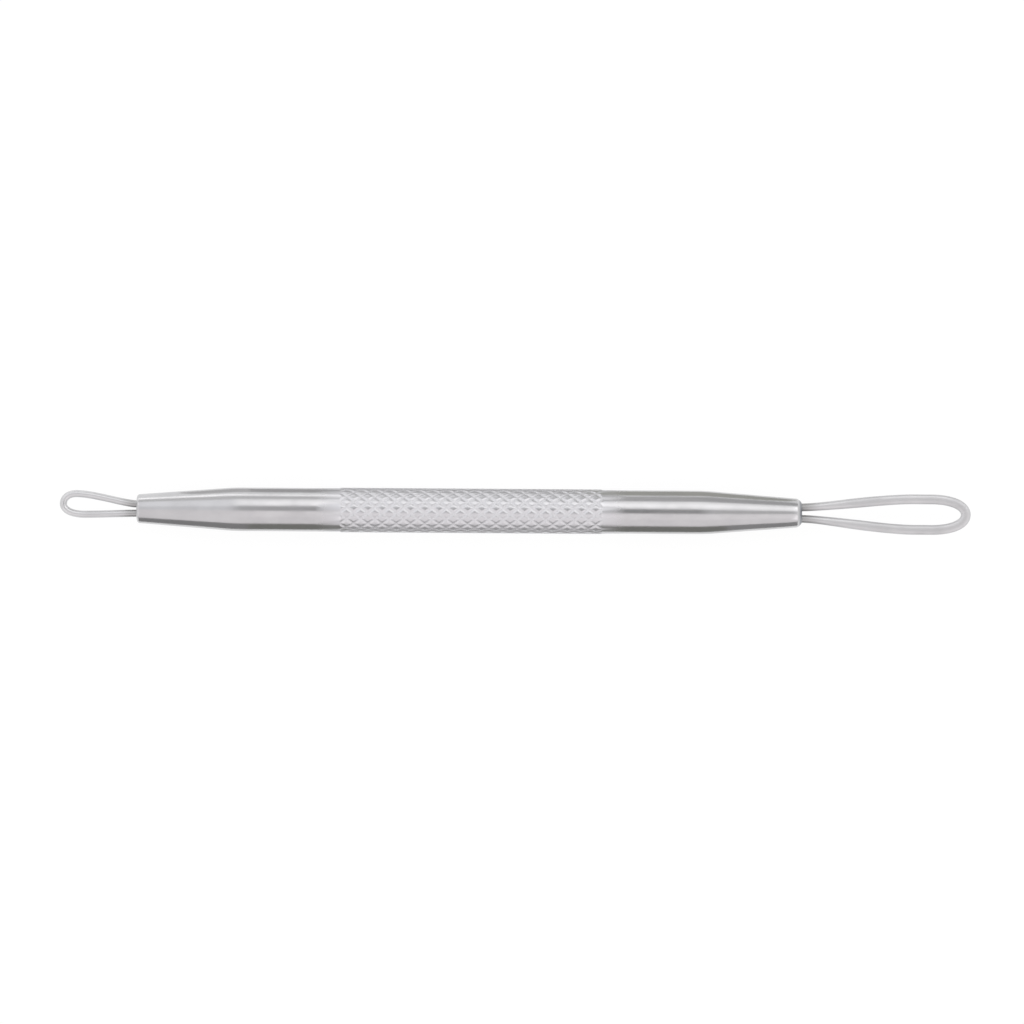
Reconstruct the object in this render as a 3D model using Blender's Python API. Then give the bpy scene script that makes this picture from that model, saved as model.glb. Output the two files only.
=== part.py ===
"""Double-ended comedone extractor: a turned handle with a diamond knurl and a wire loop in each end.

The tool lies on a level surface with both loops level. X runs along the handle, from the small loop
to the large one, Z is up, and the origin is under the middle of the tool, on the surface.
"""
import math

import bmesh
import bpy
from mathutils import Vector
from mathutils.geometry import interpolate_bezier

MM = 0.001

# Handle, turned from round bar
HANDLE_LENGTH = 91.4 * MM
HANDLE_DIAMETER = 6.0 * MM
TAPER_LENGTH = 13.35 * MM
TAPER_END_DIAMETER = 4.0 * MM
TAPER_BLEND_LENGTH = 2.4 * MM      # over which the taper runs out into the straight bar
SMALL_END_EDGE = 0.4 * MM          # rounded edge of the end that holds the small loop
LARGE_END_NOSE = 0.66 * MM         # conical nose of the end that holds the large loop
LARGE_END_LAND = 0.06 * MM         # flat ring left between that nose and its hole
NOSE_ROUNDING = 0.35               # 0 for a straight cone, 1 for a full round

# Diamond knurl round the middle of the handle
KNURL_LENGTH = 36.1 * MM
KNURL_SHIFT = 0.27 * MM            # from the middle of the handle, towards the large loop
KNURL_PITCH = 1.951 * MM           # from one diamond to the next, along the handle
KNURL_STARTS = 12                  # grooves of each hand
KNURL_RAISE = 0.12 * MM            # from the bar's surface up to the tips
KNURL_SINK = 0.08 * MM             # from the bar's surface down to the bottom of the grooves
KNURL_CAP_SHARE = 0.36             # how far a diamond's blunt cap reaches towards its corners
KNURL_CAP_RISE = 0.045 * MM        # from the edge of the cap up to the tip

# Holes for the wires
HOLE_DEPTH = 8.0 * MM
DRILL_POINT_ANGLE = math.radians(118.0)
WIRE_INSERTION = 7.0 * MM
WIRE_CLEARANCE = 0.08 * MM         # between the outer side of a leg and the wall of its hole

# Small loop, round wire: one side bows away from the axis, the other is nearly straight
SMALL_WIRE = 1.0 * MM
SMALL_LEG_GAP = 0.28 * MM          # between the legs where they leave the handle
SMALL_REACH = 10.65 * MM           # from the handle's end to the tip of the loop
SMALL_BOW = 2.5 * MM               # from the axis to the outside of the bowed side
SMALL_BOW_TO_TIP = 2.3 * MM        # from the widest place of the bowed side to the tip
SMALL_FLAT = 1.33 * MM             # from the axis to the outside of the straighter side
SMALL_FLAT_TO_TIP = 3.4 * MM
SMALL_TIP_OFFSET = 0.6 * MM        # of the tip, from the axis towards the bowed side

# Large loop, round wire pressed to an oval
LARGE_WIRE = 1.08 * MM
LARGE_LEG_GAP = 0.5 * MM
LARGE_WIRE_WIDTH = 1.36 * MM
LARGE_WIRE_THICKNESS = 0.9 * MM
LARGE_PRESS_LENGTH = 9.0 * MM      # over which the round leg turns into the oval
LARGE_REACH = 23.3 * MM
LARGE_WIDTH = 5.56 * MM            # across the outside of the loop
LARGE_LEAN = 0.09 * MM             # of the whole loop, off the axis, away from the small loop's bow
LARGE_PARALLEL = 2.4 * MM          # where both sides run level with the axis
LARGE_WIDEST_TO_TIP = 5.4 * MM     # from the end of that stretch to the tip

# Fineness
WIRE_SIDES = 12
BEND_STEPS = 12                    # points along each bend of a wire
EDGE_STEPS = 4                     # points round a rounded edge, and along a taper's blend

# Shape of a bend: the length of its handles, as shares of its extent
ROUND_HANDLE = 0.6
LEAVING_HANDLE = 0.2
WIDENING_HANDLE = 0.3

# Places worked out from the sizes
OVERALL_LENGTH = SMALL_REACH + HANDLE_LENGTH + LARGE_REACH
SMALL_END = SMALL_REACH - OVERALL_LENGTH / 2
LARGE_END = SMALL_END + HANDLE_LENGTH
BAR_RADIUS = HANDLE_DIAMETER / 2
TAPER_END_RADIUS = TAPER_END_DIAMETER / 2
TIP_RADIUS = BAR_RADIUS + KNURL_RAISE
CAP_RADIUS = TIP_RADIUS - KNURL_CAP_RISE
GROOVE_RADIUS = BAR_RADIUS - KNURL_SINK
KNURL_ROWS = 2 * KNURL_STARTS
ROW_ANGLE = math.tau / KNURL_ROWS
KNURL_COLUMNS = max(2, round(2 * KNURL_LENGTH / KNURL_PITCH))
KNURL_STEP = KNURL_LENGTH / KNURL_COLUMNS
KNURL_BEGIN = (SMALL_END + LARGE_END - KNURL_LENGTH) / 2 + KNURL_SHIFT
AXIS_HEIGHT = TIP_RADIUS * math.cos(ROW_ANGLE / 2)   # the tool lies on two rows of tips
SMALL_HOLE_RADIUS = SMALL_LEG_GAP / 2 + SMALL_WIRE + WIRE_CLEARANCE
LARGE_HOLE_RADIUS = LARGE_LEG_GAP / 2 + LARGE_WIRE + WIRE_CLEARANCE


def clear_scene():
    for existing in list(bpy.data.objects):
        bpy.data.objects.remove(existing, do_unlink=True)


def steel(name, colour, roughness):
    material = bpy.data.materials.new(name)
    material.use_nodes = True
    shader = material.node_tree.nodes["Principled BSDF"]
    shader.inputs["Base Color"].default_value = (*colour, 1.0)
    shader.inputs["Metallic"].default_value = 1.0
    shader.inputs["Roughness"].default_value = roughness
    return material


def finish_object(name, bm, material, sharp_angle):
    """Turn a closed bmesh into an object, smooth but for edges sharper than the angle."""
    bmesh.ops.recalc_face_normals(bm, faces=bm.faces)
    mesh = bpy.data.meshes.new(name)
    bm.to_mesh(mesh)
    bm.free()
    mesh.shade_smooth()
    mesh.set_sharp_from_angle(angle=sharp_angle)
    mesh.materials.append(material)
    item = bpy.data.objects.new(name, mesh)
    bpy.context.scene.collection.objects.link(item)
    return item


# Turned ends of the handle

def round_point(x, radius, angle):
    """A point at a radius from the handle's axis, at an angle measured from straight up."""
    return Vector((x, radius * math.sin(angle), AXIS_HEIGHT + radius * math.cos(angle)))


def add_ring(bm, x, radius, angles):
    return [bm.verts.new(round_point(x, radius, angle)) for angle in angles]


def bridge(bm, ring, following):
    count = len(ring)
    for index in range(count):
        after = (index + 1) % count
        bm.faces.new((ring[index], ring[after], following[after], following[index]))


def close_with_point(bm, ring, x):
    """The cone that a drill leaves: each edge of the ring runs to one point on the axis."""
    point = bm.verts.new(round_point(x, 0.0, 0.0))
    count = len(ring)
    for index in range(count):
        bm.faces.new((ring[index], ring[(index + 1) % count], point))


def outside_profile(face_radius, edge_length, rounding):
    """Outside of one end as (distance from the end, radius): edge or nose, taper, blend into the bar."""
    points = []
    for step in range(EDGE_STEPS + 1):
        share = step / EDGE_STEPS
        turn = math.pi / 2 * share
        along = share + (1 - math.cos(turn) - share) * rounding
        outwards = share + (math.sin(turn) - share) * rounding
        points.append((edge_length * along, face_radius + (TAPER_END_RADIUS - face_radius) * outwards))
    slope = (BAR_RADIUS - TAPER_END_RADIUS) / (TAPER_LENGTH - edge_length)
    for step in range(EDGE_STEPS + 1):
        left_over = 1 - step / EDGE_STEPS
        distance = TAPER_LENGTH + TAPER_BLEND_LENGTH * (0.5 - left_over)
        points.append((distance, BAR_RADIUS - slope * TAPER_BLEND_LENGTH / 2 * left_over ** 2))
    return points


def add_turned_end(bm, end, inwards, hole_radius, outside, angles, bar_ring):
    """One end of the handle: drill point, hole, flat end face and outside, up to the knurl."""
    bottom = end + inwards * HOLE_DEPTH
    ring = add_ring(bm, bottom, hole_radius, angles)
    close_with_point(bm, ring, bottom + inwards * hole_radius / math.tan(DRILL_POINT_ANGLE / 2))
    for distance, radius in [(0.0, hole_radius)] + outside:
        following = add_ring(bm, end + inwards * distance, radius, angles)
        bridge(bm, ring, following)
        ring = following
    bridge(bm, ring, bar_ring)


# Diamond knurl: tips and groove crossings take turns along every row and round every column

def row_angle(row):
    return (row + 0.5) * ROW_ANGLE


def column_place(column):
    return KNURL_BEGIN + column * KNURL_STEP


def is_tip(column, row):
    return (column + row) % 2 == 0


def shoulder_offset():
    """Angle from a tip to where the flank beside it sinks through the bar's surface."""
    fall = (CAP_RADIUS - BAR_RADIUS) / (CAP_RADIUS - GROOVE_RADIUS)
    return ROW_ANGLE * (KNURL_CAP_SHARE + (1 - KNURL_CAP_SHARE) * fall)


def tip_rows(column):
    return [row for row in range(KNURL_ROWS) if is_tip(column, row)]


def bar_angles(column):
    """Angles of the plain bar's corners beside an end column of the knurl, four for each of its tips."""
    offset = shoulder_offset()
    return [row_angle(row) + offset * share for row in tip_rows(column) for share in (-1, -1 / 3, 1 / 3, 1)]


def add_lattice(bm):
    """Corners of all diamonds: tips and groove crossings by (column, row), and caps by side too."""
    tips = {}
    grooves = {}
    caps = {}
    for column in range(KNURL_COLUMNS + 1):
        x = column_place(column)
        for row in range(KNURL_ROWS):
            angle = row_angle(row)
            if not is_tip(column, row):
                grooves[column, row] = bm.verts.new(round_point(x, GROOVE_RADIUS, angle))
                continue
            tips[column, row] = bm.verts.new(round_point(x, TIP_RADIUS, angle))
            for side in (-1, 1):
                turned = angle + side * KNURL_CAP_SHARE * ROW_ANGLE
                caps[column, row, 0, side] = bm.verts.new(round_point(x, CAP_RADIUS, turned))
                if 0 <= column + side <= KNURL_COLUMNS:
                    along = x + side * KNURL_CAP_SHARE * KNURL_STEP
                    caps[column, row, side, 0] = bm.verts.new(round_point(along, CAP_RADIUS, angle))
    return tips, grooves, caps


def add_diamonds(bm, tips, grooves, caps, shoulders):
    """Each quarter of a diamond: a triangle of its cap, and the flank from there to the grooves."""
    for (column, row), tip in tips.items():
        for ahead in (-1, 1):
            if not 0 <= column + ahead <= KNURL_COLUMNS:
                continue
            for aside in (-1, 1):
                beside_row = (row + aside) % KNURL_ROWS
                cap_ahead = caps[column, row, ahead, 0]
                cap_aside = caps[column, row, 0, aside]
                bm.faces.new((tip, cap_ahead, cap_aside))
                rim = [cap_aside, grooves[column, beside_row], grooves[column + ahead, row]]
                if (column, row, aside) in shoulders:
                    rim.insert(1, shoulders[column, row, aside])
                for first, second in zip(rim, rim[1:]):
                    bm.faces.new((cap_ahead, first, second))


def add_knurl_end(bm, column, bar_ring, tips, grooves, caps, shoulders):
    """Flat end of the knurl: its tips stand above the bar's surface and its grooves cut below it."""
    rows = tip_rows(column)
    for index, row in enumerate(rows):
        start, low, high, finish = bar_ring[4 * index:4 * index + 4]
        proud = [start, caps[column, row, 0, -1], tips[column, row], caps[column, row, 0, 1], finish]
        bm.faces.new(proud + [high, low])
        following = bar_ring[(4 * index + 4) % len(bar_ring)]
        bm.faces.new((finish, grooves[column, (row + 1) % KNURL_ROWS], following))


def add_knurl(bm, first_ring, last_ring):
    tips, grooves, caps = add_lattice(bm)
    ends = ((0, first_ring), (KNURL_COLUMNS, last_ring))
    shoulders = {}
    for column, bar_ring in ends:
        for index, row in enumerate(tip_rows(column)):
            shoulders[column, row, -1] = bar_ring[4 * index]
            shoulders[column, row, 1] = bar_ring[4 * index + 3]
    add_diamonds(bm, tips, grooves, caps, shoulders)
    for column, bar_ring in ends:
        add_knurl_end(bm, column, bar_ring, tips, grooves, caps, shoulders)


def make_handle(material):
    bm = bmesh.new()
    first_angles = bar_angles(0)
    last_angles = bar_angles(KNURL_COLUMNS)
    first_ring = add_ring(bm, column_place(0), BAR_RADIUS, first_angles)
    last_ring = add_ring(bm, column_place(KNURL_COLUMNS), BAR_RADIUS, last_angles)
    add_knurl(bm, first_ring, last_ring)
    small_outside = outside_profile(TAPER_END_RADIUS - SMALL_END_EDGE, SMALL_END_EDGE, 1.0)
    add_turned_end(bm, SMALL_END, 1, SMALL_HOLE_RADIUS, small_outside, first_angles, first_ring)
    large_outside = outside_profile(LARGE_HOLE_RADIUS + LARGE_END_LAND, LARGE_END_NOSE, NOSE_ROUNDING)
    add_turned_end(bm, LARGE_END, -1, LARGE_HOLE_RADIUS, large_outside, last_angles, last_ring)
    return finish_object("handle", bm, material, math.radians(12.0))


# Wire loops, drawn as (distance out from the handle's end, offset from its axis)

def bend_path(knots):
    """A smooth path through knots of (out, offset, direction, handle before, handle after)."""
    path = []
    for start, finish in zip(knots, knots[1:]):
        from_point = Vector((start[0], start[1], 0.0))
        to_point = Vector((finish[0], finish[1], 0.0))
        from_handle = from_point + Vector((math.cos(start[2]), math.sin(start[2]), 0.0)) * start[4]
        to_handle = to_point - Vector((math.cos(finish[2]), math.sin(finish[2]), 0.0)) * finish[3]
        bend = interpolate_bezier(from_point, from_handle, to_handle, to_point, BEND_STEPS + 1)
        path += bend[1:] if path else bend
    return path


def sweep_wire(bm, path, section):
    """Sweep an oval along a level path; section(point) gives its width and its thickness."""
    rings = []
    for index, point in enumerate(path):
        tangent = (path[min(index + 1, len(path) - 1)] - path[max(index - 1, 0)]).normalized()
        across = Vector((-tangent.y, tangent.x, 0.0))
        width, thickness = section(point)
        ring = []
        for side in range(WIRE_SIDES):
            turn = math.tau * side / WIRE_SIDES
            offset = across * (width / 2 * math.cos(turn)) + Vector((0, 0, thickness / 2 * math.sin(turn)))
            ring.append(bm.verts.new(point + offset))
        rings.append(ring)
    for ring, following in zip(rings, rings[1:]):
        bridge(bm, ring, following)
    bm.faces.new(rings[0])
    bm.faces.new(rings[-1])


def place_wire(bm, end, outwards):
    for vertex in bm.verts:
        vertex.co = Vector((end + outwards * vertex.co.x, vertex.co.y, AXIS_HEIGHT + vertex.co.z))


def make_small_loop(material):
    leg = (SMALL_LEG_GAP + SMALL_WIRE) / 2
    bow = SMALL_BOW - SMALL_WIRE / 2
    flat = SMALL_FLAT - SMALL_WIRE / 2
    tip = SMALL_REACH - SMALL_WIRE / 2
    bow_place = SMALL_REACH - SMALL_BOW_TO_TIP
    flat_place = SMALL_REACH - SMALL_FLAT_TO_TIP
    outwards = 0.0
    back = math.pi
    knots = [
        (-WIRE_INSERTION, -leg, outwards, 0.0, WIRE_INSERTION / 3),
        (0.0, -leg, outwards, WIRE_INSERTION / 3, LEAVING_HANDLE * flat_place),
        (flat_place, -flat, outwards, WIDENING_HANDLE * flat_place, ROUND_HANDLE * (tip - flat_place)),
        (tip, SMALL_TIP_OFFSET, math.pi / 2,
         ROUND_HANDLE * (flat + SMALL_TIP_OFFSET), ROUND_HANDLE * (bow - SMALL_TIP_OFFSET)),
        (bow_place, bow, back, ROUND_HANDLE * (tip - bow_place), WIDENING_HANDLE * bow_place),
        (0.0, leg, back, LEAVING_HANDLE * bow_place, WIRE_INSERTION / 3),
        (-WIRE_INSERTION, leg, back, WIRE_INSERTION / 3, 0.0),
    ]
    bm = bmesh.new()
    sweep_wire(bm, bend_path(knots), lambda point: (SMALL_WIRE, SMALL_WIRE))
    place_wire(bm, SMALL_END, -1)
    return finish_object("small_loop", bm, material, math.radians(50.0))


def large_section(point):
    """Round in the hole, and pressed to an oval a little way out of it."""
    share = min(max(point.x / LARGE_PRESS_LENGTH, 0.0), 1.0)
    eased = share * share * (3 - 2 * share)
    width = LARGE_WIRE + (LARGE_WIRE_WIDTH - LARGE_WIRE) * eased
    thickness = LARGE_WIRE + (LARGE_WIRE_THICKNESS - LARGE_WIRE) * eased
    return width, thickness


def make_large_loop(material):
    leg = (LARGE_LEG_GAP + LARGE_WIRE) / 2
    side = (LARGE_WIDTH - LARGE_WIRE_WIDTH) / 2
    low_side = -side - LARGE_LEAN
    high_side = side - LARGE_LEAN
    tip = LARGE_REACH - LARGE_WIRE_WIDTH / 2
    widest_end = LARGE_REACH - LARGE_WIDEST_TO_TIP
    widest_start = widest_end - LARGE_PARALLEL
    round_end = tip - widest_end
    outwards = 0.0
    back = math.pi
    knots = [
        (-WIRE_INSERTION, -leg, outwards, 0.0, WIRE_INSERTION / 3),
        (0.0, -leg, outwards, WIRE_INSERTION / 3, LEAVING_HANDLE * widest_start),
        (widest_start, low_side, outwards, WIDENING_HANDLE * widest_start, LARGE_PARALLEL / 3),
        (widest_end, low_side, outwards, LARGE_PARALLEL / 3, ROUND_HANDLE * round_end),
        (tip, -LARGE_LEAN, math.pi / 2, ROUND_HANDLE * side, ROUND_HANDLE * side),
        (widest_end, high_side, back, ROUND_HANDLE * round_end, LARGE_PARALLEL / 3),
        (widest_start, high_side, back, LARGE_PARALLEL / 3, WIDENING_HANDLE * widest_start),
        (0.0, leg, back, LEAVING_HANDLE * widest_start, WIRE_INSERTION / 3),
        (-WIRE_INSERTION, leg, back, WIRE_INSERTION / 3, 0.0),
    ]
    bm = bmesh.new()
    sweep_wire(bm, bend_path(knots), large_section)
    place_wire(bm, LARGE_END, 1)
    return finish_object("large_loop", bm, material, math.radians(50.0))


def main():
    clear_scene()
    make_handle(steel("turned_steel", (0.60, 0.60, 0.61), 0.25))
    make_small_loop(steel("small_wire_steel", (0.63, 0.63, 0.64), 0.22))
    make_large_loop(steel("large_wire_steel", (0.61, 0.61, 0.62), 0.30))


main()
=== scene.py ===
"""Looks of a double-ended comedone extractor: fine steel surfaces, white ground and soft light."""

import math

import bpy
import numpy as np
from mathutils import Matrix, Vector
from mathutils.geometry import interpolate_bezier


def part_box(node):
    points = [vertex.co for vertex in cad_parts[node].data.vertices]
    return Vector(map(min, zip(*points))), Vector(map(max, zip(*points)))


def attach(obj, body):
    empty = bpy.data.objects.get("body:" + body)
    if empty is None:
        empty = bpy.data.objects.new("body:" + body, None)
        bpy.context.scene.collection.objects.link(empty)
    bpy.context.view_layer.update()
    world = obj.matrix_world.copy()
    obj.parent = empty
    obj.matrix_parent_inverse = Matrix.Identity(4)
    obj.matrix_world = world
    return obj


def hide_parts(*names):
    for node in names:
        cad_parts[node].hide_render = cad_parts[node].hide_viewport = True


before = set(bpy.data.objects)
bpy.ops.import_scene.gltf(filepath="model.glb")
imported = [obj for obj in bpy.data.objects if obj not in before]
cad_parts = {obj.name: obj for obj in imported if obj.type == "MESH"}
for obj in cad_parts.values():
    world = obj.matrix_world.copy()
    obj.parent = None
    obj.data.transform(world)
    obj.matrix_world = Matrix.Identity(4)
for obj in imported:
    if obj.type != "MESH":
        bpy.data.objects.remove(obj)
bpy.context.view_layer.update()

MM = 0.001

# Places read from the solids
HANDLE_LOW, HANDLE_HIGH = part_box("handle")
SMALL_LOW, SMALL_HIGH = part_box("small_loop")
SMALL_END = HANDLE_LOW.x
LARGE_END = HANDLE_HIGH.x
AXIS_HEIGHT = (SMALL_LOW.z + SMALL_HIGH.z) / 2

# Handle, as in the part's source
BAR_RADIUS = 3.0 * MM
TAPER_LENGTH = 13.35 * MM
TAPER_END_RADIUS = 2.0 * MM
TAPER_BLEND_LENGTH = 2.4 * MM
SMALL_END_EDGE = 0.4 * MM
LARGE_END_NOSE = 0.66 * MM
LARGE_END_LAND = 0.06 * MM
NOSE_ROUNDING = 0.35
HOLE_DEPTH = 8.0 * MM
DRILL_POINT_ANGLE = math.radians(118.0)
WIRE_INSERTION = 7.0 * MM
WIRE_CLEARANCE = 0.08 * MM

# Knurl, as in the part's source, but with lower tips, shallower grooves and rounded facets,
# as rolling and polishing leave them
KNURL_LENGTH = 36.1 * MM
KNURL_SHIFT = 0.27 * MM
KNURL_COLUMNS = 37
KNURL_ROWS = 24
GROOVE_RADIUS = 2.96 * MM
TIP_RADIUS = 3.08 * MM
KNURL_STEP = KNURL_LENGTH / KNURL_COLUMNS
ROW_ANGLE = math.tau / KNURL_ROWS
KNURL_BEGIN = (SMALL_END + LARGE_END - KNURL_LENGTH) / 2 + KNURL_SHIFT
KNURL_FADE = 0.2 * MM              # over which each end of the knurl runs out into the bar
KNURL_FLANK = 0.5                  # how much of the way from a groove to a tip its rounded flank takes
KNURL_CROWN = 0.08                 # of the height, in the low dome from the flank to the tip

# Loops, as in the part's source, but for the squareness
SMALL_WIRE = 1.0 * MM
SMALL_LEG_GAP = 0.28 * MM
SMALL_REACH = 10.65 * MM
SMALL_BOW = 2.5 * MM
SMALL_BOW_TO_TIP = 2.3 * MM
SMALL_FLAT = 1.33 * MM
SMALL_FLAT_TO_TIP = 3.4 * MM
SMALL_TIP_OFFSET = 0.6 * MM
LARGE_WIRE = 1.08 * MM
LARGE_LEG_GAP = 0.5 * MM
LARGE_WIRE_WIDTH = 1.36 * MM
LARGE_WIRE_THICKNESS = 0.9 * MM
LARGE_WIRE_SQUARENESS = 0.2        # of the pressed section, which is a plain oval in the source
LARGE_PRESS_LENGTH = 9.0 * MM
LARGE_REACH = 23.3 * MM
LARGE_WIDTH = 5.56 * MM
LARGE_LEAN = 0.09 * MM
LARGE_PARALLEL = 2.4 * MM
LARGE_WIDEST_TO_TIP = 5.4 * MM
ROUND_HANDLE = 0.6
LEAVING_HANDLE = 0.2
WIDENING_HANDLE = 0.3
SMALL_HOLE_RADIUS = SMALL_LEG_GAP / 2 + SMALL_WIRE + WIRE_CLEARANCE
LARGE_HOLE_RADIUS = LARGE_LEG_GAP / 2 + LARGE_WIRE + WIRE_CLEARANCE

# Fineness
PROFILE_STEPS = 8                  # of each edge, taper and blend at the handle's ends
BAR_STEPS = 4                      # of the plain bar beside the knurl
STEPS_PER_COLUMN = 9
STEPS_PER_ROW = 9
AROUND = KNURL_ROWS * STEPS_PER_ROW
WIRE_SIDES = 40
BEND_STEPS = 44
HANDLE_SHARP_ANGLE = 32.0          # in degrees, from which an edge is shaded sharp
WIRE_SHARP_ANGLE = 40.0

# Finish; scales are features to the metre along X, Y and Z
CLOUDS = (260.0, 420.0, 420.0)     # in colour and gloss
TURNING_MARKS = (9000.0, 240.0, 240.0)
DRAWING_MARKS = (600.0, 5000.0, 5000.0)
MARK_DEPTH = 0.004 * MM
MARK_STRENGTH = 0.5
GROOVE_TONE = (0.74, 0.74, 0.76)
TIP_TONE = (0.66, 0.66, 0.68)
GROOVE_ROUGHNESS = 0.62
TIP_ROUGHNESS = 0.28
# Painted shade and dark reflection on the wires where they meet the handle, broken into blotches;
# partly heat tint from fixing the wires
SHADE_AND_HEAT_BLOTCHES = (900.0, 1400.0, 1400.0)
WIRE_SHADE_AND_HEAT_TONE = (0.43, 0.43, 0.43)
WIRE_SHADE_AND_HEAT_REACH = 3.2 * MM         # out along the wire, from the handle's end
# Painted dark reflection and shade on the rim of the end that holds the large loop; partly heat tint
RIM_SHADE_AND_HEAT_TONE = (0.22, 0.23, 0.25)
RIM_SHADE_AND_HEAT_START = 0.12 * MM         # in from the end that holds the large loop
RIM_SHADE_AND_HEAT_REACH = 0.4 * MM


# Node helpers

def emptied(owner):
    """The nodes and links of a new material or world, with its first nodes taken out."""
    owner.use_nodes = True
    owner.node_tree.nodes.clear()
    return owner.node_tree.nodes, owner.node_tree.links


def noise(nodes, links, coordinates, scale, detail=3.0, roughness=0.5):
    """Noise stretched along the three axes by a scale of features to the metre."""
    mapping = nodes.new("ShaderNodeMapping")
    mapping.inputs["Scale"].default_value = scale
    links.new(coordinates, mapping.inputs["Vector"])
    texture = nodes.new("ShaderNodeTexNoise")
    texture.inputs["Scale"].default_value = 1.0
    texture.inputs["Detail"].default_value = detail
    texture.inputs["Roughness"].default_value = roughness
    links.new(mapping.outputs["Vector"], texture.inputs["Vector"])
    return texture.outputs["Fac"]


def spread(nodes, links, factor, low, high):
    """Map the middle of a noise to a range."""
    node = nodes.new("ShaderNodeMapRange")
    node.inputs["From Min"].default_value = 0.3
    node.inputs["From Max"].default_value = 0.7
    node.inputs["To Min"].default_value = low
    node.inputs["To Max"].default_value = high
    links.new(factor, node.inputs["Value"])
    return node.outputs["Result"]


def multiply(nodes, links, first, second):
    """Product of an output and either a number or another output."""
    node = nodes.new("ShaderNodeMath")
    node.operation = "MULTIPLY"
    links.new(first, node.inputs[0])
    if isinstance(second, float):
        node.inputs[1].default_value = second
    else:
        links.new(second, node.inputs[1])
    return node.outputs[0]


def bump(nodes, links, height, distance, strength):
    node = nodes.new("ShaderNodeBump")
    node.inputs["Distance"].default_value = distance
    node.inputs["Strength"].default_value = strength
    links.new(height, node.inputs["Height"])
    return node.outputs["Normal"]


def tinted(nodes, links, factor, dark, light):
    """A colour between two, by a factor."""
    node = nodes.new("ShaderNodeMix")
    node.data_type = "RGBA"
    node.inputs["A"].default_value = (*dark, 1)
    node.inputs["B"].default_value = (*light, 1)
    links.new(factor, node.inputs["Factor"])
    return node.outputs["Result"]


def shade_and_heat_tint(nodes, links, place, colour, shade_and_heat_tone, start, reach):
    """Painted shade and dark reflection near the handle, partly heat tint from fixing the wires; full
    at start and gone a reach away along X.
    """
    along = nodes.new("ShaderNodeSeparateXYZ")
    links.new(place, along.inputs[0])
    blotches = noise(nodes, links, place, SHADE_AND_HEAT_BLOTCHES)
    fade = nodes.new("ShaderNodeMapRange")
    fade.interpolation_type = "SMOOTHERSTEP"
    fade.inputs["From Min"].default_value = start
    fade.inputs["From Max"].default_value = start + reach
    fade.inputs["To Min"].default_value = 1.0
    fade.inputs["To Max"].default_value = 0.0
    links.new(along.outputs["X"], fade.inputs["Value"])
    share = multiply(nodes, links, fade.outputs["Result"], spread(nodes, links, blotches, 0.8, 1.0))
    node = nodes.new("ShaderNodeMix")
    node.data_type = "RGBA"
    node.inputs["B"].default_value = (*shade_and_heat_tone, 1)
    links.new(share, node.inputs["Factor"])
    links.new(colour, node.inputs["A"])
    return node.outputs["Result"]


def steel(name, dark, light, smooth, dull, marks_scale, shade_and_heat_bands, knurled=False):
    """Satin steel, clouded between two colours and two roughnesses, with fine marks of working."""
    material = bpy.data.materials.new(name)
    material.use_nodes = True
    nodes = material.node_tree.nodes
    links = material.node_tree.links
    shader = nodes["Principled BSDF"]
    shader.inputs["Metallic"].default_value = 1.0
    place = nodes.new("ShaderNodeTexCoord").outputs["Object"]
    cloud = noise(nodes, links, place, CLOUDS, detail=4.0)
    marks = noise(nodes, links, place, marks_scale, roughness=0.6)
    colour = tinted(nodes, links, spread(nodes, links, cloud, 0.0, 1.0), dark, light)
    roughness = spread(nodes, links, cloud, dull, smooth)
    if knurled:
        colour, roughness = knurl_look(nodes, links, colour, roughness)
    # Painted shade and dark reflection near the handle's ends, partly heat tint
    for shade_and_heat_tone, start, reach in shade_and_heat_bands:
        colour = shade_and_heat_tint(nodes, links, place, colour, shade_and_heat_tone, start, reach)
    links.new(colour, shader.inputs["Base Color"])
    links.new(roughness, shader.inputs["Roughness"])
    links.new(bump(nodes, links, marks, MARK_DEPTH, MARK_STRENGTH), shader.inputs["Normal"])
    return material


def attribute(nodes, name):
    node = nodes.new("ShaderNodeAttribute")
    node.attribute_name = name
    return node.outputs["Fac"]


def blended(nodes, links, factor, first, second, kind):
    """Two outputs mixed by a factor; kind is RGBA or FLOAT."""
    node = nodes.new("ShaderNodeMix")
    node.data_type = kind
    links.new(factor, node.inputs["Factor"])
    links.new(first, node.inputs["A"])
    links.new(second, node.inputs["B"])
    return node.outputs["Result"]


def knurl_look(nodes, links, colour, roughness):
    """Rolling leaves the grooves paler and duller than turned steel; polishing smooths the tips."""
    band = attribute(nodes, "knurled")
    tip = attribute(nodes, "tip")
    rolled = tinted(nodes, links, tip, GROOVE_TONE, TIP_TONE)
    satin = nodes.new("ShaderNodeMapRange")
    satin.inputs["To Min"].default_value = GROOVE_ROUGHNESS
    satin.inputs["To Max"].default_value = TIP_ROUGHNESS
    links.new(tip, satin.inputs["Value"])
    colour = blended(nodes, links, band, colour, rolled, "RGBA")
    return colour, blended(nodes, links, band, roughness, satin.outputs["Result"], "FLOAT")


# Meshes

def add_object(name, points, faces, material, sharp_angle, node):
    """A smooth-shaded piece that stands for one of the solids."""
    mesh = bpy.data.meshes.new(name)
    mesh.from_pydata(points, [], faces)
    mesh.shade_smooth()
    mesh.set_sharp_from_angle(angle=math.radians(sharp_angle))
    mesh.materials.append(material)
    item = bpy.data.objects.new(name, mesh)
    bpy.context.scene.collection.objects.link(item)
    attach(item, "root")
    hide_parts(node)
    return item


def eased(share):
    """From 0 to 1 with a soft start and end."""
    return share * share * (3 - 2 * share)


def tube_faces(rings, sides):
    """Quads between neighbouring rings of a tube."""
    faces = []
    for ring in range(rings - 1):
        base = ring * sides
        for side in range(sides):
            after = (side + 1) % sides
            faces.append((base + side, base + side + sides, base + after + sides, base + after))
    return faces


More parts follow.
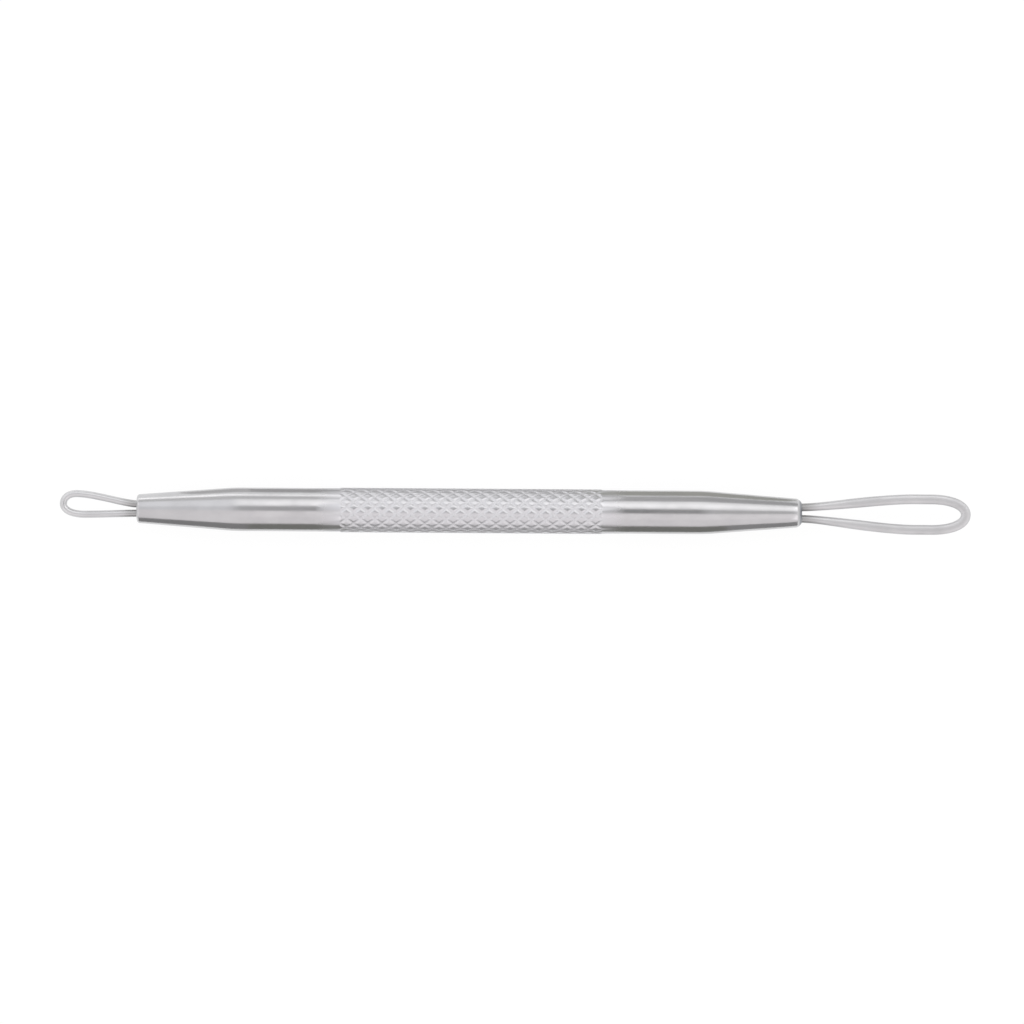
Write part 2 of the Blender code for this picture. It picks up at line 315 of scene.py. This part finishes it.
def outside_profile(face_radius, edge_length, rounding):
    """Outside of one end as (distance from the end, radius), from its face to the straight bar."""
    points = []
    for step in range(PROFILE_STEPS + 1):
        share = step / PROFILE_STEPS
        turn = math.pi / 2 * share
        along = share + (1 - math.cos(turn) - share) * rounding
        outwards = share + (math.sin(turn) - share) * rounding
        points.append((edge_length * along, face_radius + (TAPER_END_RADIUS - face_radius) * outwards))
    slope = (BAR_RADIUS - TAPER_END_RADIUS) / (TAPER_LENGTH - edge_length)
    blend_start = TAPER_LENGTH - TAPER_BLEND_LENGTH / 2
    for step in range(1, PROFILE_STEPS):
        distance = edge_length + (blend_start - edge_length) * step / PROFILE_STEPS
        points.append((distance, TAPER_END_RADIUS + slope * (distance - edge_length)))
    for step in range(PROFILE_STEPS + 1):
        left_over = 1 - step / PROFILE_STEPS
        distance = TAPER_LENGTH + TAPER_BLEND_LENGTH * (0.5 - left_over)
        points.append((distance, BAR_RADIUS - slope * TAPER_BLEND_LENGTH / 2 * left_over ** 2))
    return points


def plain_bar(start, finish):
    """Rings of the straight bar between two places, as (place, radius), without its first and last."""
    length = finish - start
    return [(start + length * step / BAR_STEPS, BAR_RADIUS) for step in range(1, BAR_STEPS)]


def knurl_radius(x, angle):
    """Radius of the knurled surface, and how near it is to a diamond's tip, from 0 to 1."""
    along = (x - KNURL_BEGIN) / KNURL_STEP
    around = angle / ROW_ANGLE - 0.5
    rising = np.abs(np.mod(along + around, 2) - 1)
    falling = np.abs(np.mod(along - around, 2) - 1)
    crest = np.minimum(rising, falling)
    rise = np.clip(crest / KNURL_FLANK, 0, 1)
    full = (1 - KNURL_CROWN) * eased(rise) + KNURL_CROWN * (1 - (1 - crest) ** 2)
    inside = np.minimum(x - KNURL_BEGIN, KNURL_BEGIN + KNURL_LENGTH - x)
    share = eased(np.clip(inside / KNURL_FADE, 0, 1))
    patterned = GROOVE_RADIUS + (TIP_RADIUS - GROOVE_RADIUS) * full
    return BAR_RADIUS + (patterned - BAR_RADIUS) * share, full


def make_handle(material):
    """Rings along the handle's axis, from one drill point out over the whole outside to the other."""
    angles = np.arange(AROUND) * math.tau / AROUND
    small = outside_profile(TAPER_END_RADIUS - SMALL_END_EDGE, SMALL_END_EDGE, 1.0)
    large = outside_profile(LARGE_HOLE_RADIUS + LARGE_END_LAND, LARGE_END_NOSE, NOSE_ROUNDING)
    stations = [(SMALL_END + HOLE_DEPTH, SMALL_HOLE_RADIUS), (SMALL_END, SMALL_HOLE_RADIUS)]
    stations += [(SMALL_END + distance, radius) for distance, radius in small]
    stations += plain_bar(stations[-1][0], KNURL_BEGIN)
    knurl_steps = KNURL_COLUMNS * STEPS_PER_COLUMN
    stations += [(KNURL_BEGIN + KNURL_STEP * step / STEPS_PER_COLUMN, None)
                 for step in range(knurl_steps + 1)]
    tail = [(LARGE_END - distance, radius) for distance, radius in reversed(large)]
    stations += plain_bar(stations[-1][0], tail[0][0]) + tail
    stations += [(LARGE_END, LARGE_HOLE_RADIUS), (LARGE_END - HOLE_DEPTH, LARGE_HOLE_RADIUS)]
    points = []
    knurled = []
    tips = []
    for x, radius in stations:
        knurled.append(np.full(AROUND, float(radius is None)))
        tip = np.full(AROUND, 0.5)
        if radius is None:
            radius, tip = knurl_radius(x, angles)
        tips.append(tip)
        ring_radius = np.broadcast_to(radius, angles.shape)
        ring = np.stack([
            np.full(AROUND, x),
            ring_radius * np.sin(angles),
            AXIS_HEIGHT + ring_radius * np.cos(angles),
        ], axis=1)
        points.append(ring)
    drill_slope = math.tan(DRILL_POINT_ANGLE / 2)
    small_point = SMALL_END + HOLE_DEPTH + SMALL_HOLE_RADIUS / drill_slope
    large_point = LARGE_END - HOLE_DEPTH - LARGE_HOLE_RADIUS / drill_slope
    points.append(np.array([(small_point, 0.0, AXIS_HEIGHT), (large_point, 0.0, AXIS_HEIGHT)]))
    knurled.append(np.zeros(2))
    tips.append(np.full(2, 0.5))
    vertices = np.concatenate(points)
    faces = tube_faces(len(stations), AROUND)
    last_ring = (len(stations) - 1) * AROUND
    for side in range(AROUND):
        after = (side + 1) % AROUND
        faces.append((side, after, len(vertices) - 2))
        faces.append((last_ring + after, last_ring + side, len(vertices) - 1))
    item = add_object("handle_surface", vertices.tolist(), faces, material, HANDLE_SHARP_ANGLE,
                      "handle")
    for label, values in (("knurled", knurled), ("tip", tips)):
        layer = item.data.attributes.new(label, "FLOAT", "POINT")
        layer.data.foreach_set("value", np.concatenate(values).astype(np.float32))


def bend_path(knots):
    """A smooth path through knots of (out, offset, direction, handle before, handle after)."""
    path = []
    for start, finish in zip(knots, knots[1:]):
        from_point = Vector((start[0], start[1], 0.0))
        to_point = Vector((finish[0], finish[1], 0.0))
        from_handle = from_point + Vector((math.cos(start[2]), math.sin(start[2]), 0.0)) * start[4]
        to_handle = to_point - Vector((math.cos(finish[2]), math.sin(finish[2]), 0.0)) * finish[3]
        bend = interpolate_bezier(from_point, from_handle, to_handle, to_point, BEND_STEPS + 1)
        path += bend[1:] if path else bend
    return path


def squared(value, power):
    """A sine or cosine raised to a power with its sign kept, which squares off a round section."""
    return math.copysign(abs(value) ** power, value)


def make_wire(name, path, section, end, outwards, material, node):
    """Sweep an oval along a level path; section(point) gives its width, thickness and squareness."""
    points = []
    for index, point in enumerate(path):
        tangent = (path[min(index + 1, len(path) - 1)] - path[max(index - 1, 0)]).normalized()
        across = Vector((-tangent.y, tangent.x, 0.0))
        width, thickness, squareness = section(point)
        for side in range(WIRE_SIDES):
            turn = math.tau * side / WIRE_SIDES
            place = point + across * (width / 2 * squared(math.cos(turn), 1 - squareness))
            height = AXIS_HEIGHT + thickness / 2 * squared(math.sin(turn), 1 - squareness)
            points.append((end + outwards * place.x, place.y, height))
    faces = tube_faces(len(path), WIRE_SIDES)
    faces.append(tuple(range(WIRE_SIDES)))
    faces.append(tuple(reversed(range(len(points) - WIRE_SIDES, len(points)))))
    if outwards > 0:
        faces = [tuple(reversed(face)) for face in faces]
    add_object(name, points, faces, material, WIRE_SHARP_ANGLE, node)


def make_small_loop(material):
    """A lopsided loop, nearly straight on its near side and bowed out on its far side."""
    leg = (SMALL_LEG_GAP + SMALL_WIRE) / 2
    bow = SMALL_BOW - SMALL_WIRE / 2
    flat = SMALL_FLAT - SMALL_WIRE / 2
    tip = SMALL_REACH - SMALL_WIRE / 2
    bow_place = SMALL_REACH - SMALL_BOW_TO_TIP
    flat_place = SMALL_REACH - SMALL_FLAT_TO_TIP
    knots = [
        (-WIRE_INSERTION, -leg, 0.0, 0.0, WIRE_INSERTION / 3),
        (0.0, -leg, 0.0, WIRE_INSERTION / 3, LEAVING_HANDLE * flat_place),
        (flat_place, -flat, 0.0, WIDENING_HANDLE * flat_place, ROUND_HANDLE * (tip - flat_place)),
        (tip, SMALL_TIP_OFFSET, math.pi / 2,
         ROUND_HANDLE * (flat + SMALL_TIP_OFFSET), ROUND_HANDLE * (bow - SMALL_TIP_OFFSET)),
        (bow_place, bow, math.pi, ROUND_HANDLE * (tip - bow_place), WIDENING_HANDLE * bow_place),
        (0.0, leg, math.pi, LEAVING_HANDLE * bow_place, WIRE_INSERTION / 3),
        (-WIRE_INSERTION, leg, math.pi, WIRE_INSERTION / 3, 0.0),
    ]

    def section(point):
        return SMALL_WIRE, SMALL_WIRE, 0.0

    make_wire("small_loop_surface", bend_path(knots), section, SMALL_END, -1,
              material, "small_loop")


def make_large_loop(material):
    """A long even loop, of wire that is round at the handle and pressed a little flat beyond it."""
    leg = (LARGE_LEG_GAP + LARGE_WIRE) / 2
    side = (LARGE_WIDTH - LARGE_WIRE_WIDTH) / 2
    near_side = -side - LARGE_LEAN
    far_side = side - LARGE_LEAN
    tip = LARGE_REACH - LARGE_WIRE_WIDTH / 2
    widest_end = LARGE_REACH - LARGE_WIDEST_TO_TIP
    widest_start = widest_end - LARGE_PARALLEL
    round_end = tip - widest_end
    knots = [
        (-WIRE_INSERTION, -leg, 0.0, 0.0, WIRE_INSERTION / 3),
        (0.0, -leg, 0.0, WIRE_INSERTION / 3, LEAVING_HANDLE * widest_start),
        (widest_start, near_side, 0.0, WIDENING_HANDLE * widest_start, LARGE_PARALLEL / 3),
        (widest_end, near_side, 0.0, LARGE_PARALLEL / 3, ROUND_HANDLE * round_end),
        (tip, -LARGE_LEAN, math.pi / 2, ROUND_HANDLE * side, ROUND_HANDLE * side),
        (widest_end, far_side, math.pi, ROUND_HANDLE * round_end, LARGE_PARALLEL / 3),
        (widest_start, far_side, math.pi, LARGE_PARALLEL / 3, WIDENING_HANDLE * widest_start),
        (0.0, leg, math.pi, LEAVING_HANDLE * widest_start, WIRE_INSERTION / 3),
        (-WIRE_INSERTION, leg, math.pi, WIRE_INSERTION / 3, 0.0),
    ]

    def section(point):
        pressed = eased(min(max(point.x / LARGE_PRESS_LENGTH, 0.0), 1.0))
        width = LARGE_WIRE + (LARGE_WIRE_WIDTH - LARGE_WIRE) * pressed
        thickness = LARGE_WIRE + (LARGE_WIRE_THICKNESS - LARGE_WIRE) * pressed
        return width, thickness, LARGE_WIRE_SQUARENESS * pressed

    make_wire("large_loop_surface", bend_path(knots), section, LARGE_END, 1,
              material, "large_loop")


# Ground, light and camera

TENT_STRENGTH = 0.42
TENT_HALF = 1.4
GROUND_HALF = 1.5
GROUND_TONE = (0.8, 0.8, 0.8)
GROUND_WHITE = 1.06                # strength of the white that the camera and the metal see,
GROUND_WHITE_SHARE = 0.86          # mixed with the lit ground, which takes the tool's shadow
CARD_GAP = 0.05 * MM               # from the ground up to the cards that lie on it
ONE_FACE = [(0, 1, 2, 3)]
SOFTBOX_DISTANCE = 0.7
END_LAMP_DISTANCE = 0.8
END_LAMP_ANGLE = math.radians(62)  # from straight up towards either end of the tool
PLAIN = (1.0, 0.985, 0.985)
WARM = (1.0, 0.94, 0.955)
COOL = (0.965, 0.96, 1.0)
GREENISH = (1.0, 1.0, 0.93)


def emission_material(name, strength, colour):
    material = bpy.data.materials.new(name)
    nodes, links = emptied(material)
    output = nodes.new("ShaderNodeOutputMaterial")
    glow = nodes.new("ShaderNodeEmission")
    glow.inputs["Color"].default_value = (*colour, 1)
    glow.inputs["Strength"].default_value = strength
    links.new(glow.outputs[0], output.inputs[0])
    return material


def seen_directly(nodes, links):
    """1 for what the camera, a mirror or clear matter sees, 0 for the light that a surface sheds."""
    path = nodes.new("ShaderNodeLightPath")
    first = nodes.new("ShaderNodeMath")
    first.operation = "MAXIMUM"
    links.new(path.outputs["Is Camera Ray"], first.inputs[0])
    links.new(path.outputs["Is Glossy Ray"], first.inputs[1])
    second = nodes.new("ShaderNodeMath")
    second.operation = "MAXIMUM"
    links.new(first.outputs[0], second.inputs[0])
    links.new(path.outputs["Is Transmission Ray"], second.inputs[1])
    return second.outputs[0]


def rectangle(from_x, to_x, near, far, near_height, far_height):
    """Its four corners, in order round it; near and far are along Y."""
    return [
        (from_x, near, near_height), (to_x, near, near_height),
        (to_x, far, far_height), (from_x, far, far_height),
    ]


def make_floor():
    """White to the camera and the metal, with a faint shadow, and plain matt for the light it sheds."""
    material = bpy.data.materials.new("white_ground")
    nodes, links = emptied(material)
    output = nodes.new("ShaderNodeOutputMaterial")
    matt = nodes.new("ShaderNodeBsdfDiffuse")
    matt.inputs["Color"].default_value = (*GROUND_TONE, 1)
    white = nodes.new("ShaderNodeEmission")
    white.inputs["Strength"].default_value = GROUND_WHITE
    mix = nodes.new("ShaderNodeMixShader")
    links.new(multiply(nodes, links, seen_directly(nodes, links), GROUND_WHITE_SHARE), mix.inputs[0])
    links.new(matt.outputs[0], mix.inputs[1])
    links.new(white.outputs[0], mix.inputs[2])
    links.new(mix.outputs[0], output.inputs[0])
    mesh = bpy.data.meshes.new("ground")
    points = rectangle(-GROUND_HALF, GROUND_HALF, -GROUND_HALF, GROUND_HALF, 0, 0)
    mesh.from_pydata(points, [], ONE_FACE)
    mesh.materials.append(material)
    floor = bpy.data.objects.new("ground", mesh)
    bpy.context.scene.collection.objects.link(floor)


def add_stage(name, points, faces, strength, colour=(1, 1, 1)):
    """A glowing surface of the studio, which the camera doesn't see."""
    mesh = bpy.data.meshes.new(name)
    mesh.from_pydata(points, [], faces)
    mesh.materials.append(emission_material(name, strength, colour))
    item = bpy.data.objects.new(name, mesh)
    bpy.context.scene.collection.objects.link(item)
    item.visible_camera = False
    return item


def make_shadow_card(name, from_x, to_x, near, far, height, strength, colour):
    """A card on the ground beside the tool, seen only in the metal, with its far side raised: a painted
    shadow of the tool on the ground.
    """
    points = rectangle(from_x, to_x, near, far, CARD_GAP, height)
    card = add_stage(name, points, ONE_FACE, strength, colour)
    card.visible_diffuse = False
    card.visible_shadow = False


def make_cards():
    """Dark cards before the handle and grey ones behind it, which paint the tool's shadow on the ground
    into the metal, and a dark one high above.
    """
    # Painted shade: dark sheets along the handle where its shade falls on the ground, seen only in the
    # metal
    for name, from_x, to_x, strength, colour in (
            ("dark_card_left", -0.0545, -0.037, 0.29, PLAIN),
            ("dark_card_middle_left", -0.037, -0.0238, 0.24, GREENISH),
            ("dark_card_knurl", -0.0238, 0.0118, 0.42, PLAIN),
            ("dark_card_middle_right", 0.0118, 0.030, 0.24, GREENISH),
            ("dark_card_right", 0.030, 0.043, 0.33, PLAIN)):
        make_shadow_card(name, from_x, to_x, near=-7.6 * MM, far=-9 * MM, height=6.5 * MM,
                  strength=strength, colour=colour)
    # Painted shadow: grey sheets on the ground where the tool's shadow falls, seen only in the metal
    for name, from_x, to_x, far, strength, colour in (
            ("grey_card_left", -0.047, -0.037, 24 * MM, 0.62, PLAIN),
            ("grey_card", -0.037, 0.010, 24 * MM, 0.50, PLAIN),
            ("grey_card_right", 0.010, 0.041, 45 * MM, 0.48, GREENISH)):
        make_shadow_card(name, from_x, to_x, near=6 * MM, far=far, height=CARD_GAP,
                  strength=strength, colour=colour)
    points = rectangle(from_x=-0.045, to_x=0.012, near=0.158, far=0.222,
                       near_height=0.55, far_height=0.55)
    add_stage("dark_card_above", points, ONE_FACE, strength=0.15)


def make_tent():
    """Pale walls and ceiling of a light tent, with a darker gap, for the metal to mirror."""
    points = []
    for height in (0.0, TENT_HALF):
        points += rectangle(-TENT_HALF, TENT_HALF, -TENT_HALF, TENT_HALF, height, height)
    faces = [(0, 1, 5, 4), (1, 2, 6, 5), (2, 3, 7, 6), (3, 0, 4, 7), (4, 5, 6, 7)]
    add_stage("tent", points, faces, TENT_STRENGTH)
    points = rectangle(from_x=-0.12, to_x=1.0, near=-0.18, far=0.32, near_height=1.3, far_height=1.3)
    add_stage("tent_gap", points, ONE_FACE, strength=0.28)


def make_lamp(name, width, height, radiance, location, rotation, colour):
    """A rectangular lamp of a given brightness, whatever its size."""
    light = bpy.data.lights.new(name, "AREA")
    light.color = colour
    light.shape = "RECTANGLE"
    light.size = width
    light.size_y = height
    light.energy = radiance * math.pi * width * height
    lamp = bpy.data.objects.new(name, light)
    bpy.context.scene.collection.objects.link(lamp)
    lamp.location = location
    lamp.rotation_euler = rotation
    lamp.visible_camera = False


def make_softbox(name, low_angle, high_angle, from_x, to_x, radiance, colour=PLAIN):
    """A long lamp between two angles, in degrees from straight up towards +Y as the tool sees it."""
    middle = math.radians((low_angle + high_angle) / 2)
    height = 2 * SOFTBOX_DISTANCE * math.tan(math.radians(high_angle - low_angle) / 2)
    out = SOFTBOX_DISTANCE * math.sin(middle)
    up = SOFTBOX_DISTANCE * math.cos(middle)
    location = ((from_x + to_x) / 2, out, up)
    make_lamp(name, to_x - from_x, height, radiance, location, (-middle, 0, 0), colour)


def make_lamps():
    """Soft lamps above and beside the tool, which make the bright bands in its steel."""
    make_softbox("upper_far_left", 16, 54, -0.6, -0.12, 0.62, COOL)
    make_softbox("upper_left", 17, 55, -0.12, 0.0, 0.79)
    make_softbox("upper_right", 15, 57, 0.0, 0.6, 0.80)
    make_softbox("upper_core", 24, 44, -0.1, 0.6, 0.22)
    make_softbox("lower_left", -80, -6, -0.6, 0.0, 0.52, WARM)
    make_softbox("lower_right", -80, -8, 0.0, 0.6, 0.54, WARM)
    make_softbox("lower_core", -40, -8, -0.12, 0.6, 0.08, WARM)
    make_softbox("strip_far_left", 78, 90, -0.7, -0.12, 1.0)
    make_softbox("strip_left", 76, 88, -0.12, -0.02, 0.75)
    make_softbox("side_left", 54, 89, -0.6, 0.0, 0.3)
    make_softbox("side_right", 54, 89, 0.0, 0.6, 0.09)
    make_softbox("middle_far_left", -6, 16, -0.6, -0.12, 0.48, COOL)
    make_softbox("middle_left", -6, 16, -0.12, -0.04, 0.16)
    make_softbox("middle_right", -8, 15, 0.1, 0.6, 0.35)
    for side in (-1, 1):
        tilt = END_LAMP_ANGLE * side
        location = (END_LAMP_DISTANCE * math.sin(tilt), 0, END_LAMP_DISTANCE * math.cos(tilt))
        make_lamp("end", width=0.84, height=1.8, radiance=0.5,
                  location=location, rotation=(0, tilt, 0), colour=PLAIN)


def make_world():
    """White where it is seen, and as bright as the tent where it only lights."""
    world = bpy.data.worlds.new("studio")
    bpy.context.scene.world = world
    nodes, links = emptied(world)
    output = nodes.new("ShaderNodeOutputWorld")
    tent = nodes.new("ShaderNodeBackground")
    tent.inputs["Color"].default_value = (1, 1, 1, 1)
    tent.inputs["Strength"].default_value = TENT_STRENGTH
    white = nodes.new("ShaderNodeBackground")
    white.inputs["Color"].default_value = (1, 1, 1, 1)
    white.inputs["Strength"].default_value = 1.0
    mix = nodes.new("ShaderNodeMixShader")
    links.new(seen_directly(nodes, links), mix.inputs[0])
    links.new(tent.outputs[0], mix.inputs[1])
    links.new(white.outputs[0], mix.inputs[2])
    links.new(mix.outputs[0], output.inputs[0])


def make_camera():
    """Straight above, turned so that the handle falls a little to the right, as in the photograph."""
    mm_per_pixel = 0.1376
    pixels = 1024
    sensor = 36.0
    distance = 0.6
    off_right = 3.25 * mm_per_pixel * MM
    off_down = -0.83 * mm_per_pixel * MM
    turn = math.radians(0.396)
    right = Vector((math.cos(turn), math.sin(turn), 0))
    up = Vector((-math.sin(turn), math.cos(turn), 0))
    data = bpy.data.cameras.new("camera")
    data.sensor_width = sensor
    data.lens = sensor * distance / (pixels * mm_per_pixel * MM)
    camera = bpy.data.objects.new("camera", data)
    bpy.context.scene.collection.objects.link(camera)
    camera.location = -right * off_right + up * off_down + Vector((0, 0, AXIS_HEIGHT + distance))
    camera.rotation_euler = (0, 0, turn)
    bpy.context.scene.camera = camera


def main():
    # The last list of each steel paints shade and dark reflection near the handle's ends, partly heat
    # tint
    handle_steel = steel("handle_steel_look", (0.56, 0.56, 0.57), (0.62, 0.62, 0.63), 0.17, 0.24,
                         TURNING_MARKS, [(RIM_SHADE_AND_HEAT_TONE, LARGE_END - RIM_SHADE_AND_HEAT_START, -RIM_SHADE_AND_HEAT_REACH)],
                         knurled=True)
    small_steel = steel("small_wire_look", (0.60, 0.60, 0.61), (0.70, 0.70, 0.71), 0.30, 0.40,
                        DRAWING_MARKS, [(WIRE_SHADE_AND_HEAT_TONE, SMALL_END, -WIRE_SHADE_AND_HEAT_REACH)])
    large_steel = steel("large_wire_look", (0.58, 0.58, 0.59), (0.68, 0.68, 0.69), 0.40, 0.50,
                        DRAWING_MARKS, [(WIRE_SHADE_AND_HEAT_TONE, LARGE_END, WIRE_SHADE_AND_HEAT_REACH)])
    make_handle(handle_steel)
    make_small_loop(small_steel)
    make_large_loop(large_steel)
    make_floor()
    make_cards()
    make_tent()
    make_lamps()
    make_world()
    make_camera()
    bpy.context.scene.view_settings.view_transform = "Standard"


main()
